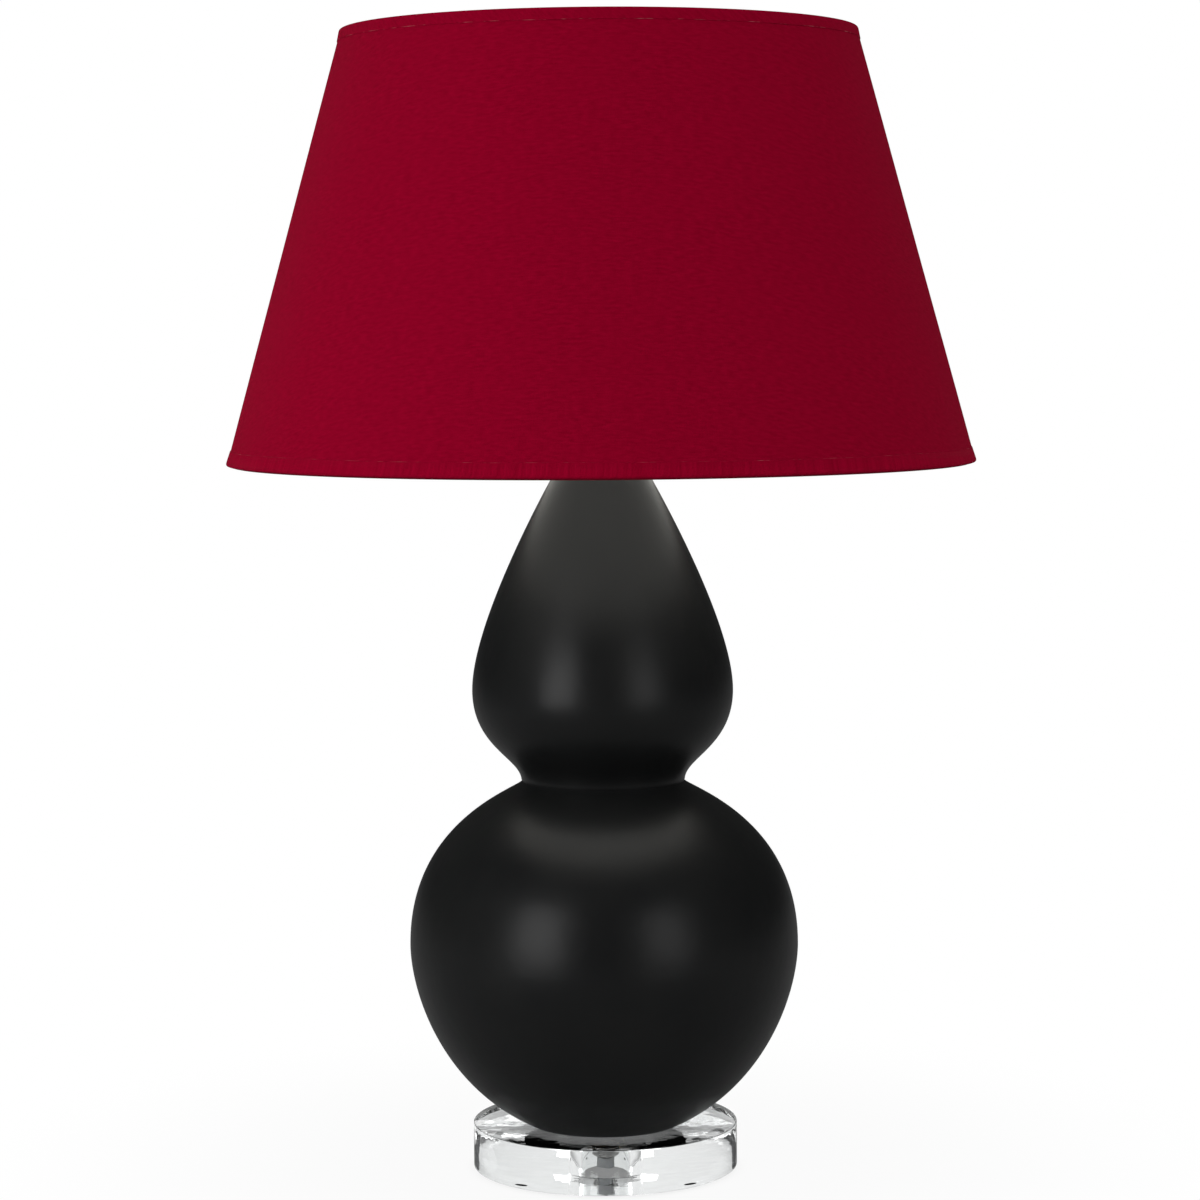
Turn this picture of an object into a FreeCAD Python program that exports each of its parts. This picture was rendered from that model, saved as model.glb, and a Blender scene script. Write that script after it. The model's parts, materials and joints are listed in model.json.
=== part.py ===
import FreeCAD, Part
import math
import os

# Double-gourd table lamp, built as it comes apart on a bench. Millimetres, +Z up,
# origin in the middle of the footprint, on the surface that the lamp stands on.
# X runs left to right across the harp, and the cord outlet points back along +Y.

V = FreeCAD.Vector

# Clear round base
base_dia = 184.0
base_h = 31.0
base_bevel = 0.8
foot_dia = 9.0
foot_h = 1.5
foot_tip_dia = 6.3
foot_edge_h = 0.9
foot_circle_dia = 150.0
foot_count = 4
recess_dia = 34.0
recess_depth = 18.5
pipe_hole_clear = 1.1
cord_hole_dia = 8.0
cord_hole_h = 11.0
bushing_len = 14.0
bushing_wall = 1.0
bushing_flange_dia = 12.0
bushing_flange_h = 1.2

# Threaded pipe and the hardware that clamps the stack
pipe_dia = 9.8
pipe_bore_dia = 6.8
pipe_tail = 6.0
thread_clear = 0.05
pipe_end_cap_wall = 1.2
pipe_end_cap_h = 6.0
pipe_end_cap_lip = 0.4
pipe_above_hub = 3.0
base_washer_dia = 31.0
base_washer_h = 1.5
lock_washer_dia = 17.0
lock_washer_h = 1.2
lock_washer_gap = 1.2
nut_flats = 16.0
base_nut_h = 5.0

# Glazed double-gourd body: radii, and heights above its foot
gourd_foot_dia = 108.0
gourd_belly_dia = 270.0
gourd_belly_h = 126.0
gourd_neck_dia = 113.4
gourd_neck_h = 239.4
gourd_bulb_dia = 180.8
gourd_bulb_h = 302.8
gourd_mouth_dia = 49.4
gourd_h = 466.0
gourd_wall = 7.0
gourd_mouth_bore_dia = 30.0
foot_hole_dia = 22.0
foot_recess_dia = 68.0
foot_recess_h = 2.0
# How far each stretch of the outline runs on along its tangent before it turns
foot_reach = 70.0
foot_slope_deg = 26.0
belly_reach_down = 30.0
belly_reach_up = 87.4
neck_reach_down = 5.9
neck_slope_deg = 86.2
neck_reach_up = 16.7
bulb_reach_down = 39.6
bulb_reach_up = 52.0
mouth_reach = 1.0
mouth_slope_deg = 61.0

# Cap, spacer and saddle on top of the body
ring_clear = 0.3
check_flange_dia = 30.0
cap_dia = 47.0
cap_h = 7.2
cap_wall = 1.2
cap_skirt_h = 5.0
cap_edge_h = 1.0
cap_shoulder_dia = 33.8
cap_shoulder_drop = 2.0
spacer_dia = 14.0
spacer_waist_dia = 11.6
spacer_h = 9.0
saddle_span = 48.8
saddle_width = 19.0
saddle_tab_width = 5.4
saddle_arm_h = 15.0
saddle_t = 1.2
saddle_bend = 1.6
saddle_tab_run = 2.5
saddle_flare_run = 9.0
saddle_nut_h = 3.2

# Lamp holder
shell_dia = 33.0
shell_h = 47.0
shell_wall = 0.5
shell_lip_h = 1.0
shell_lip_out = 0.6
cup_wall = 0.8
cup_h = 15.0
cup_hub_dia = 15.0
cup_hub_h = 4.0
cup_overlap = 4.0
cup_flare_h = 5.0
cup_hub_edge_h = 1.0
set_screw_dia = 3.0
set_screw_len = 7.0
set_screw_h = 1.7
liner_sleeve_wall = 0.6
switch_block_dia = 28.0
switch_block_h = 23.0
switch_block_bevel = 4.0
switch_block_bore_depth = 2.0
screw_shell_dia = 26.6
screw_shell_wall = 0.4
screw_shell_h = 24.0
contact_h = 1.4
contact_dia = 8.0
terminal_dia = 4.5
terminal_head_h = 1.2
terminal_h = 9.0
key_shaft_dia = 4.0
key_shaft_clear = 0.08
key_height = 14.0
key_knob_dia = 12.0
key_knob_len = 14.0
key_gap = 2.0
key_slot_dia = 9.0
key_shaft_depth = 9.0
key_grip_t = 7.4
key_grip_back = 3.5

# Bulb
bulb_cap_h = 26.0
bulb_cap_clear = 0.25
bulb_button_dia = 8.0
bulb_button_h = 1.5
bulb_cone_dia = 10.0
bulb_cone_h = 4.0
bulb_seat_clear = 0.1
bulb_dia = 60.0
bulb_len = 108.0
bulb_neck_dia = 28.0
bulb_neck_h = 6.0
bulb_join_deg = -28.0
bulb_wall = 1.0

# Harp, its sleeves and the finial
harp_wire_dia = 3.2
harp_seat_gap = 0.6
harp_h = 250.0
harp_width = 136.0
harp_leg_h = 30.0
harp_shoulder_h = 118.0
harp_top_run = 66.0
harp_leg_bend = 16.0
harp_side_bend = 60.0
harp_top_bend = 22.0
sleeve_bore_dia = 7.4
sleeve_wall = 1.0
sleeve_h = 14.0
sleeve_taper = 0.5
sleeve_seat_gap = 0.7
collar_dia = 13.0
collar_h = 7.0
stud_dia = 6.2
stud_h = 14.0
finial_dia = 15.0
finial_h = 20.0
finial_base_dia = 11.0
finial_neck_dia = 8.0
finial_base_h = 2.0
finial_cove_h = 1.5
finial_neck_h = 2.5
finial_flare_h = 3.0
finial_crown_h = 4.0
finial_crown_dia = 7.5
finial_bore_spare = 0.8
finial_clear = 0.05

# Shade
shade_top_dia = 352.0
shade_bottom_dia = 513.0
shade_h = 293.0
shade_drop = 16.0
liner_t = 0.6
cover_t = 0.6
hem_t = 1.0
hem_h_top = 7.5
hem_h_bottom = 9.5
hem_fold_t = 0.8
hem_inside_share = 0.7
hem_slit_clear = 0.3
ring_wire_dia = 3.0
ring_sides = 6
ring_clear_of_liner = 0.2
arm_count = 3
arm_first_deg = 30.0
arm_wire_dia = 3.0
arm_rise_run = 14.0
arm_bend = 8.0
fitter_dia = 26.0
fitter_t = 1.6
fitter_clear = 0.25

# Stack heights that follow from the sizes above
base_z = foot_h
base_top = base_z + base_h
recess_top = base_z + recess_depth
pipe_bottom = recess_top - base_washer_h - lock_washer_h - base_nut_h - pipe_tail
mouth_z = base_top + gourd_h
cap_top = mouth_z + cap_h
spacer_top = cap_top + spacer_h
saddle_top = spacer_top + saddle_t
holder_z = saddle_top + saddle_nut_h
pipe_top = holder_z + cup_hub_h + pipe_above_hub
cup_top = holder_z + cup_h
shell_z = cup_top - cup_overlap
shell_top = shell_z + shell_h
block_z = shell_z - cup_overlap
block_top = block_z + switch_block_h
key_z = shell_z + key_height
leg_x = saddle_span / 2 + harp_wire_dia / 2
sleeve_x = leg_x - saddle_t / 2
harp_z = saddle_top + harp_seat_gap
harp_top = harp_z + harp_h
collar_top = harp_top + collar_h / 2
shade_top_z = collar_top + fitter_t / 2 + shade_drop
shade_z = shade_top_z - shade_h
thread_r = pipe_dia / 2 + thread_clear


def point(r, z):
    return V(r, 0, z)


def lines(points):
    return [Part.LineSegment(a, b).toShape() for a, b in zip(points, points[1:])]


def arc(a, b, c):
    return Part.Arc(a, b, c).toShape()


def bezier(*poles):
    curve = Part.BezierCurve()
    curve.setPoles(list(poles))
    return curve


def spin(edges):
    """Turn a closed outline in the XZ plane round the Z axis into a solid."""
    face = Part.Face(Part.Wire(edges))
    return face.revolve(V(0, 0, 0), V(0, 0, 1), 360)


def spin_points(*pairs):
    points = [point(r, z) for r, z in pairs]
    return spin(lines(points + points[:1]))


def tube(outer_r, inner_r, z, height):
    return spin_points((inner_r, z), (outer_r, z), (outer_r, z + height), (inner_r, z + height))


def rod(r, start, length, direction=V(0, 0, 1)):
    return Part.makeCylinder(r, length, start, direction)


def hexagon(flats, z, height, bore_r):
    corner = flats / math.sqrt(3)
    points = [V(corner * math.cos(a), corner * math.sin(a), z)
              for a in [math.radians(60 * k) for k in range(7)]]
    nut = Part.Face(Part.Wire(lines(points))).extrude(V(0, 0, height))
    return nut.cut(rod(bore_r, V(0, 0, z - 1), height + 2))


def rounded_path(points, radii):
    """Straight runs joined by tangent arcs; radii has one value per inner point."""
    edges = []
    start = points[0]
    for before, corner, after, radius in zip(points, points[1:], points[2:], radii):
        into = (before - corner).normalize()
        out = (after - corner).normalize()
        half = into.getAngle(out) / 2
        reach = radius / math.tan(half)
        middle = (into + out).normalize()
        touch_in = corner + into * reach
        touch_out = corner + out * reach
        crown = corner + middle * (radius / math.sin(half) - radius)
        edges.append(Part.LineSegment(start, touch_in).toShape())
        edges.append(arc(touch_in, crown, touch_out))
        start = touch_out
    edges.append(Part.LineSegment(start, points[-1]).toShape())
    return edges


def wire_form(points, radii, dia):
    """Round wire bent along a path."""
    path = Part.Wire(rounded_path(points, radii))
    direction = (points[1] - points[0]).normalize()
    section = Part.Wire(Part.Circle(points[0], direction, dia / 2).toShape())
    return path.makePipeShell([section], True, True)


def around(shape, count, first_deg=0.0):
    """Copies of a shape, evenly spaced round the Z axis."""
    copies = []
    for k in range(count):
        copy = shape.copy()
        copy.rotate(V(0, 0, 0), V(0, 0, 1), first_deg + 360.0 * k / count)
        copies.append(copy)
    return copies


# Base

def acrylic_base():
    r = base_dia / 2
    hole_r = pipe_dia / 2 + pipe_hole_clear
    recess_r = recess_dia / 2
    disc = spin_points((recess_r, base_z), (r - base_bevel, base_z), (r, base_z + base_bevel),
                       (r, base_top - base_bevel), (r - base_bevel, base_top), (hole_r, base_top),
                       (hole_r, recess_top), (recess_r, recess_top))
    return disc.cut(rod(cord_hole_dia / 2, V(0, 0, base_z + cord_hole_h), r + 1, V(0, 1, 0)))


def bumper_feet():
    """Soft domed feet in a ring under the base."""
    r = foot_dia / 2
    foot = spin_points((0, 0), (foot_tip_dia / 2, 0), (r, foot_edge_h), (r, foot_h), (0, foot_h))
    foot.translate(V(foot_circle_dia / 2, 0, 0))
    return Part.makeCompound(around(foot, foot_count, 45.0))


def cord_bushing():
    """Flanged sleeve in the cord hole at the back of the base."""
    r = cord_hole_dia / 2
    back = V(0, 1, 0)
    edge = base_dia / 2
    z = base_z + cord_hole_h
    flange = bushing_flange_h
    sleeve = rod(r, V(0, edge - bushing_len, z), bushing_len + flange, back)
    lip = rod(bushing_flange_dia / 2, V(0, edge - flange, z), 2 * flange, back)
    bore = rod(r - bushing_wall, V(0, edge - bushing_len - 1, z), bushing_len + 2 * flange + 2, back)
    disc_wall = rod(edge, V(0, 0, base_z), base_h)
    return sleeve.fuse(lip.cut(disc_wall)).removeSplitter().cut(bore)


# Clamping hardware in the recess

def lamp_pipe():
    return tube(pipe_dia / 2, pipe_bore_dia / 2, pipe_bottom, pipe_top - pipe_bottom)


def pipe_bushing():
    """Soft cap on the lower pipe end that keeps the lead off the sharp edge."""
    inner = pipe_dia / 2
    outer = inner + pipe_end_cap_wall
    low = pipe_bottom - pipe_end_cap_wall
    bore = pipe_bore_dia / 2 - pipe_end_cap_lip
    return spin_points((bore, low), (outer, low), (outer, low + pipe_end_cap_h),
                       (inner, low + pipe_end_cap_h), (inner, pipe_bottom), (bore, pipe_bottom))


def base_washer():
    z = recess_top - base_washer_h
    return tube(base_washer_dia / 2, thread_r, z, base_washer_h)


def lock_washer():
    """Split spring washer with its gap to the front."""
    z = recess_top - base_washer_h - lock_washer_h
    ring = tube(lock_washer_dia / 2, thread_r, z, lock_washer_h)
    return ring.cut(Part.makeBox(lock_washer_gap, lock_washer_dia, lock_washer_h + 2,
                                 V(-lock_washer_gap / 2, -lock_washer_dia, z - 1)))


def base_nut():
    z = recess_top - base_washer_h - lock_washer_h - base_nut_h
    return hexagon(nut_flats, z, base_nut_h, thread_r)


# Glazed body

def gourd_spans():
    """The outline from foot to mouth as four curves that meet at foot, belly, neck and bulb."""
    foot_out = math.radians(foot_slope_deg)
    neck_in = math.radians(neck_slope_deg)
    mouth_in = math.radians(mouth_slope_deg)
    foot = point(gourd_foot_dia / 2, base_top)
    belly = point(gourd_belly_dia / 2, base_top + gourd_belly_h)
    neck = point(gourd_neck_dia / 2, base_top + gourd_neck_h)
    bulb = point(gourd_bulb_dia / 2, base_top + gourd_bulb_h)
    mouth = point(gourd_mouth_dia / 2, mouth_z)
    up = V(0, 0, 1)
    foot_on = point(math.cos(foot_out), math.sin(foot_out)) * foot_reach
    neck_on = point(math.cos(neck_in), -math.sin(neck_in)) * neck_reach_down
    mouth_on = point(math.cos(mouth_in), -math.sin(mouth_in)) * mouth_reach
    return [bezier(foot, foot + foot_on, belly - up * belly_reach_down, belly),
            bezier(belly, belly + up * belly_reach_up, neck + neck_on, neck),
            bezier(neck, neck + up * neck_reach_up, bulb - up * bulb_reach_down, bulb),
            bezier(bulb, bulb + up * bulb_reach_up, mouth + mouth_on, mouth)]


def inside_of(curve, share):
    """The point one wall thickness inside the outline, part of the way along a curve."""
    on = curve.value(share)
    along = curve.tangent(share)[0]
    return on + V(-along.z, 0, along.x).normalize() * gourd_wall


def gourd_body():
    spans = gourd_spans()
    outer = [span.toShape() for span in spans]
    floor = base_top + foot_recess_h + gourd_wall
    bore = gourd_mouth_bore_dia / 2
    hole = foot_hole_dia / 2
    stops = [(0, 0.12), (0, 0.55), (1, 0.0), (1, 0.5), (1, 0.85), (2, 0.4), (3, 0.0), (3, 0.5)]
    wall = [inside_of(spans[k], share) for k, share in stops]
    inner = [point(hole, floor), point(gourd_foot_dia / 2 - foot_recess_h, floor)] + wall
    rim = [point(gourd_mouth_dia / 2, mouth_z), point(bore, mouth_z), point(bore, mouth_z - gourd_wall)]
    under = [point(hole, base_top + foot_recess_h), point(foot_recess_dia / 2, base_top + foot_recess_h),
             point(foot_recess_dia / 2, base_top), point(gourd_foot_dia / 2, base_top)]
    return spin(outer + lines(rim + inner[::-1] + under))


def foot_ring():
    """Flanged ring that centres the pipe in the foot hole and rests on the base."""
    z = base_top
    flange_top = z + foot_recess_h
    return spin_points((thread_r, z), (check_flange_dia / 2, z), (check_flange_dia / 2, flange_top),
                       (foot_hole_dia / 2 - ring_clear, flange_top),
                       (foot_hole_dia / 2 - ring_clear, flange_top + gourd_wall - 1),
                       (thread_r, flange_top + gourd_wall - 1))


# Cap, spacer and saddle

def vase_cap():
    """Spun dome on the mouth with a skirt that drops inside it."""
    r = cap_dia / 2
    low = mouth_z
    top = low + cap_h
    skirt = gourd_mouth_bore_dia / 2 - ring_clear
    slope = (cap_h - cap_edge_h) / (r - spacer_dia / 2)
    under = low + (r - skirt) * slope
    ceiling = top - cap_wall - cap_edge_h
    return spin_points((thread_r, top), (spacer_dia / 2, top), (cap_shoulder_dia / 2, top - cap_shoulder_drop),
                       (r, low + cap_edge_h), (r, low), (r - cap_wall, low), (skirt, under - cap_wall),
                       (skirt, low - cap_skirt_h), (skirt - cap_wall, low - cap_skirt_h),
                       (skirt - cap_wall, ceiling), (thread_r, ceiling))


def neck_spacer():
    """Spool between the cap and the saddle."""
    r = spacer_dia / 2
    waist = spacer_waist_dia / 2
    step = spacer_h / 4
    return spin_points((thread_r, cap_top), (r, cap_top), (r, cap_top + step), (waist, cap_top + step),
                       (waist, spacer_top - step), (r, spacer_top - step), (r, spacer_top),
                       (thread_r, spacer_top))


def harp_saddle():
    """Strip bent up at both ends, wide round the pipe and narrow at the tabs."""
    half = saddle_span / 2
    low = spacer_top
    high = low + saddle_arm_h
    outside = rounded_path([V(-half, 0, high), V(-half, 0, low), V(half, 0, low), V(half, 0, high)],
                           [saddle_bend + saddle_t] * 2)
    inner = half - saddle_t
    inside = rounded_path([V(inner, 0, high), V(inner, 0, saddle_top), V(-inner, 0, saddle_top),
                           V(-inner, 0, high)], [saddle_bend] * 2)
    ends = [Part.LineSegment(V(half, 0, high), V(inner, 0, high)).toShape(),
            Part.LineSegment(V(-inner, 0, high), V(-half, 0, high)).toShape()]
    face = Part.Face(Part.Wire(outside + ends[:1] + inside + ends[1:]))
    face.translate(V(0, -saddle_width / 2, 0))
    strip = face.extrude(V(0, saddle_width, 0))
    wide = saddle_width / 2
    narrow = saddle_tab_width / 2
    tab = half - saddle_tab_run
    flare = half - saddle_flare_run
    plan = [V(x, y, low - 1) for x, y in
            [(-half - 1, -narrow), (-tab, -narrow), (-flare, -wide), (flare, -wide),
             (tab, -narrow), (half + 1, -narrow), (half + 1, narrow), (tab, narrow),
             (flare, wide), (-flare, wide), (-tab, narrow), (-half - 1, narrow)]]
    blank = Part.Face(Part.Wire(lines(plan + plan[:1]))).extrude(V(0, 0, saddle_arm_h + 2))
    return strip.common(blank).cut(rod(thread_r, V(0, 0, low - 1), saddle_t + 2))


def saddle_nut():
    return hexagon(nut_flats, saddle_top, saddle_nut_h, thread_r)


# Lamp holder

def socket_cap():
    """Cup that screws on the pipe and takes the shell in its rim."""
    hub = cup_hub_dia / 2
    outer = shell_dia / 2 + cup_wall
    inner = shell_dia / 2
    z = holder_z
    hub_top = z + cup_hub_h
    cup = spin_points((thread_r, z), (hub, z), (hub, hub_top - cup_hub_edge_h), (outer, hub_top + cup_flare_h),
                      (outer, cup_top), (inner, cup_top), (inner, hub_top + cup_flare_h + cup_wall),
                      (hub, hub_top), (thread_r, hub_top))
    return cup.cut(rod(set_screw_dia / 2, V(0, 0, z + set_screw_h), hub + 1, V(0, 1, 0)))


def cap_set_screw():
    start = V(0, thread_r, holder_z + set_screw_h)
    return rod(set_screw_dia / 2, start, set_screw_len, V(0, 1, 0))


def key_cut(depth):
    """Round-topped notch that lets the key shaft out at the front."""
    r = key_slot_dia / 2
    hole = rod(r, V(0, 0, key_z), depth, V(0, -1, 0))
    slot = Part.makeBox(2 * r, depth, key_z - shell_z + 1, V(-r, -depth, shell_z - 1))
    return hole.fuse(slot)


def socket_shell():
    """Outer shell with a rolled lip at its mouth."""
    r = shell_dia / 2
    lip = r + shell_lip_out
    shell = spin_points((r - shell_wall, shell_z), (r, shell_z), (r, shell_top - 2 * shell_lip_h),
                        (lip, shell_top - shell_lip_h), (lip, shell_top - shell_lip_h / 2),
                        (r, shell_top), (r - shell_wall, shell_top))
    return shell.cut(key_cut(shell_dia))


def socket_insulator():
    r = shell_dia / 2 - shell_wall
    sleeve = tube(r, r - liner_sleeve_wall, shell_z, shell_h - 2.0)
    return sleeve.cut(key_cut(shell_dia))


def switch_block():
    """Moulded switch body that carries the screw shell, with the key shaft's bearing."""
    r = switch_block_dia / 2
    bevel = switch_block_bevel
    block = spin_points((0, block_z), (r - bevel, block_z), (r, block_z + bevel), (r, block_top), (0, block_top))
    bearing_r = key_shaft_dia / 2 + key_shaft_clear
    block = block.cut(rod(bearing_r, V(0, 0, key_z), r + 2, V(0, -1, 0)))
    pipe_room = rod(pipe_dia / 2 + 1, V(0, 0, block_z - 1), switch_block_bore_depth + 1)
    return block.cut(pipe_room)


def screw_shell():
    r = screw_shell_dia / 2
    return tube(r + screw_shell_wall, r, block_top, screw_shell_h)


def centre_contact():
    return rod(contact_dia / 2, V(0, 0, block_top), contact_h)


def terminal_screws():
    """Two binding screws on the flanks of the switch body."""
    screws = []
    for side in (-1, 1):
        start = V(side * switch_block_dia / 2, 0, block_z + terminal_h)
        screws.append(rod(terminal_dia / 2, start, terminal_head_h, V(side, 0, 0)))
    return Part.makeCompound(screws)


def switch_key():
    """Turn knob on a shaft, with a flat grip across its end."""
    knob_y = shell_dia / 2 + key_gap
    shaft_start = -(switch_block_dia / 2 - key_shaft_depth)
    shaft = rod(key_shaft_dia / 2, V(0, shaft_start, key_z), knob_y + shaft_start + 1, V(0, -1, 0))
    knob = rod(key_knob_dia / 2, V(0, -knob_y, key_z), key_knob_len, V(0, -1, 0))
    grip = key_grip_t / 2
    for left in (grip, -grip - key_knob_dia):
        knob = knob.cut(Part.makeBox(key_knob_dia, key_knob_len, 2 * key_knob_dia,
                                     V(left, -knob_y - key_knob_len - key_grip_back, key_z - key_knob_dia)))
    return shaft.fuse(knob).removeSplitter()


# Bulb

def bulb_levels():
    tip = block_top + contact_h + bulb_seat_clear
    return tip, tip + bulb_cap_h, tip + bulb_len


def bulb_cap():
    """Screw cap of the bulb with its centre button."""
    r = screw_shell_dia / 2 - bulb_cap_clear
    tip, shoulder, _ = bulb_levels()
    return spin_points((0, tip), (bulb_button_dia / 2, tip), (bulb_cone_dia / 2, tip + bulb_button_h),
                       (r, tip + bulb_cone_h), (r, shoulder), (0, shoulder))


def bulb_glass():
    """Hollow pear-shaped envelope."""
    _, low, high = bulb_levels()
    ball = bulb_dia / 2
    centre = high - ball
    neck = bulb_neck_dia / 2
    join = math.radians(bulb_join_deg)
    side = point(ball * math.cos(join), centre + ball * math.sin(join))
    middle = math.radians(30)
    crown = arc(side, point(ball * math.cos(middle), centre + ball * math.sin(middle)), point(0, high))
    inner = ball - bulb_wall
    inside = [point(0, high - bulb_wall)]
    inside += [point(inner * math.cos(a), centre + inner * math.sin(a))
               for a in [math.radians(d) for d in (60, 30, 0, bulb_join_deg)]]
    inside.append(point(neck - bulb_wall, low + bulb_neck_h))
    inside.append(point(neck - bulb_wall, low))
    edges = lines([point(neck, low), point(neck, low + bulb_neck_h), side]) + [crown]
    edges += lines([point(0, high)] + inside + [point(neck, low)])
    return spin(edges)


# Harp

def harp():
    """One wire: legs in the saddle, wide in the middle, level across the top."""
    half = harp_width / 2
    top = harp_top
    side = [V(leg_x, 0, harp_z), V(leg_x, 0, harp_z + harp_leg_h), V(half, 0, harp_z + harp_shoulder_h),
            V(harp_top_run / 2, 0, top)]
    other = [V(-p.x, 0, p.z) for p in side[::-1]]
    bends = [harp_leg_bend, harp_side_bend, harp_top_bend]
    return wire_form(side + other, bends + bends[::-1], harp_wire_dia)


def harp_stud():
    """Collar crimped over the wire's top, with the post that carries shade and finial."""
    low = harp_top - collar_h / 2
    r = collar_dia / 2
    post = stud_dia / 2
    body = spin_points((0, low), (r, low), (r, collar_top), (post, collar_top),
                       (post, collar_top + stud_h), (0, collar_top + stud_h))
    return body.cut(rod(harp_wire_dia / 2, V(-r - 1, 0, harp_top), 2 * r + 2, V(1, 0, 0)))


def harp_sleeve(side):
    """Ferrule that slides down over a saddle tab and a wire end and locks them."""
    low = saddle_top + sleeve_seat_gap
    inner = sleeve_bore_dia / 2
    outer = inner + sleeve_wall + sleeve_taper
    sleeve = spin_points((inner, low), (outer, low), (outer - sleeve_taper, low + sleeve_h),
                         (inner, low + sleeve_h))
    sleeve.translate(V(side * sleeve_x, 0, 0))
    return sleeve


def finial():
    """Small turned knob with a threaded blind bore."""
    z = collar_top + fitter_t
    r = finial_dia / 2
    bore = stud_dia / 2 + finial_clear
    depth = stud_h - fitter_t + finial_bore_spare
    base = finial_base_dia / 2
    neck = finial_neck_dia / 2
    neck_z = z + finial_base_h + finial_cove_h
    knob_z = neck_z + finial_neck_h
    top = z + finial_h
    return spin_points((bore, z), (base, z), (base, z + finial_base_h), (neck, neck_z), (neck, knob_z),
                       (r, knob_z + finial_flare_h), (r, top - finial_crown_h),
                       (finial_crown_dia / 2, top), (0, top), (0, z + depth), (bore, z + depth))


# Shade

def wall_at(along, out):
    """Radius and height of a point on the shade wall: a distance up the slant from the lower
    edge, and a distance outward from the cover's outer face."""
    slant = math.hypot(shade_h, (shade_bottom_dia - shade_top_dia) / 2)
    rise = shade_h / slant
    draw = (shade_bottom_dia - shade_top_dia) / 2 / slant
    return (shade_bottom_dia / 2 - along * draw + out * rise, shade_z + along * rise + out * draw)


def slant_length():
    return math.hypot(shade_h, (shade_bottom_dia - shade_top_dia) / 2)


def shade_ring(centre):
    """Ring of wire inside one edge of the shade."""
    r = ring_wire_dia / 2
    turns = [math.radians(360 * (k + 0.5) / ring_sides) for k in range(ring_sides)]
    return spin_points(*[(centre[0] + r * math.cos(a), centre[1] + r * math.sin(a)) for a in turns])


def ring_centre(along):
    return wall_at(along, -cover_t - liner_t - ring_wire_dia / 2 - ring_clear_of_liner)


def fitter_plate():
    """Round plate with the stud hole, at the middle of the drop arms."""
    return tube(fitter_dia / 2, stud_dia / 2 + fitter_clear, collar_top, fitter_t)


def arm_points():
    """One drop arm's line: level from the plate, then up to the top ring."""
    ring_r, ring_z = ring_centre(slant_length() - ring_wire_dia / 2)
    z = collar_top + fitter_t / 2
    return [V(fitter_dia / 4, 0, z), V(ring_r - arm_rise_run, 0, z), V(ring_r, 0, ring_z)]


def shade_spider():
    """Top ring and drop arms, welded together and to the rim of the fitter plate."""
    body = shade_ring(ring_centre(slant_length() - ring_wire_dia / 2))
    arm = wire_form(arm_points(), [arm_bend], arm_wire_dia)
    arm = arm.cut(rod(fitter_dia / 2, V(0, 0, collar_top - fitter_dia), 2 * fitter_dia))
    for piece in around(arm, arm_count, arm_first_deg):
        body = body.fuse(piece)
    return body


def bottom_ring():
    return shade_ring(ring_centre(ring_wire_dia / 2))


def shade_skin(near, far):
    """One layer of the shade wall, between two distances inward from its outer face."""
    end = slant_length()
    return spin_points(wall_at(0, -near), wall_at(end, -near), wall_at(end, -far), wall_at(0, -far))


def hem(start, sign, height):
    """Strip folded over an edge: down the outside, round the ring and a little way up inside."""
    layer = cover_t + liner_t
    pocket = layer + ring_wire_dia + ring_clear_of_liner
    fold = hem_fold_t
    tail = height * hem_inside_share
    crown = ring_wire_dia + ring_clear_of_liner
    corners = [(height, 0), (height, hem_t), (0, hem_t), (-fold, 0), (-fold, -pocket), (0, -pocket - fold),
               (crown, -pocket - fold), (crown + fold, -pocket), (crown + fold, -layer - fold),
               (tail, -layer - fold), (tail, -layer), (crown, -layer), (crown, -pocket), (0, -pocket), (0, 0)]
    return spin_points(*[wall_at(start + sign * along, out) for along, out in corners])


def top_hem():
    """The upper strip, slit where the three drop arms come through to the ring."""
    _, bend, end = arm_points()
    slit = rod(arm_wire_dia / 2 + hem_slit_clear, bend, (end - bend).Length, end - bend)
    return hem(slant_length(), -1, hem_h_top).cut(Part.makeCompound(around(slit, arm_count, arm_first_deg)))


def bottom_hem():
    return hem(0, 1, hem_h_bottom)


nodes = {
    "acrylic_base": acrylic_base(),
    "bumper_feet": bumper_feet(),
    "cord_bushing": cord_bushing(),
    "lamp_pipe": lamp_pipe(),
    "pipe_bushing": pipe_bushing(),
    "base_washer": base_washer(),
    "lock_washer": lock_washer(),
    "base_nut": base_nut(),
    "foot_ring": foot_ring(),
    "gourd_body": gourd_body(),
    "vase_cap": vase_cap(),
    "neck_spacer": neck_spacer(),
    "harp_saddle": harp_saddle(),
    "saddle_nut": saddle_nut(),
    "socket_cap": socket_cap(),
    "cap_set_screw": cap_set_screw(),
    "socket_shell": socket_shell(),
    "socket_insulator": socket_insulator(),
    "switch_block": switch_block(),
    "screw_shell": screw_shell(),
    "centre_contact": centre_contact(),
    "terminal_screws": terminal_screws(),
    "switch_key": switch_key(),
    "bulb_cap": bulb_cap(),
    "bulb_glass": bulb_glass(),
    "harp": harp(),
    "harp_stud": harp_stud(),
    "harp_sleeve_left": harp_sleeve(-1),
    "harp_sleeve_right": harp_sleeve(1),
    "finial": finial(),
    "fitter_plate": fitter_plate(),
    "shade_spider": shade_spider(),
    "bottom_ring": bottom_ring(),
    "shade_liner": shade_skin(cover_t, cover_t + liner_t),
    "shade_cover": shade_skin(0, cover_t),
    "top_hem": top_hem(),
    "bottom_hem": bottom_hem(),
}

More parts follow.
